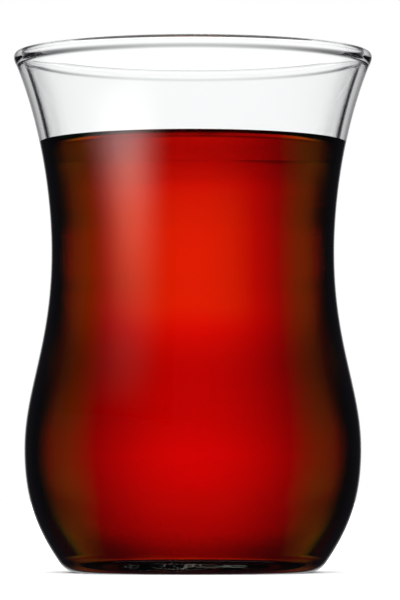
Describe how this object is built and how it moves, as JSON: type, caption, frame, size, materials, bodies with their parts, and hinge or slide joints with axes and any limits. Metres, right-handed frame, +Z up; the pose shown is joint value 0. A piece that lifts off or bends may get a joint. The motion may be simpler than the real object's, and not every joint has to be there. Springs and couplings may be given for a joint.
{
  "type": "turkish tea glass with tea",
  "caption": "Waisted clear tea glass with a flared, rounded rim and a flat foot ring, filled with dark red tea to a little under the rim.",
  "frame": {"origin": "centre of the foot, on the surface that the glass stands on", "axes": "+Z up, along the axis that the glass is turned about; X and Y are alike"},
  "size_m": [0.0586, 0.0586, 0.085],
  "materials": {
    "clear_glass": "clear colourless soda glass, fire-polished and smooth",
    "tea": "clear strong black tea, deep red where light comes through and nearly black at the sides"
  },
  "bodies": {
    "root": {"glass": "clear_glass", "tea": "tea"}
  },
  "joints": []
}
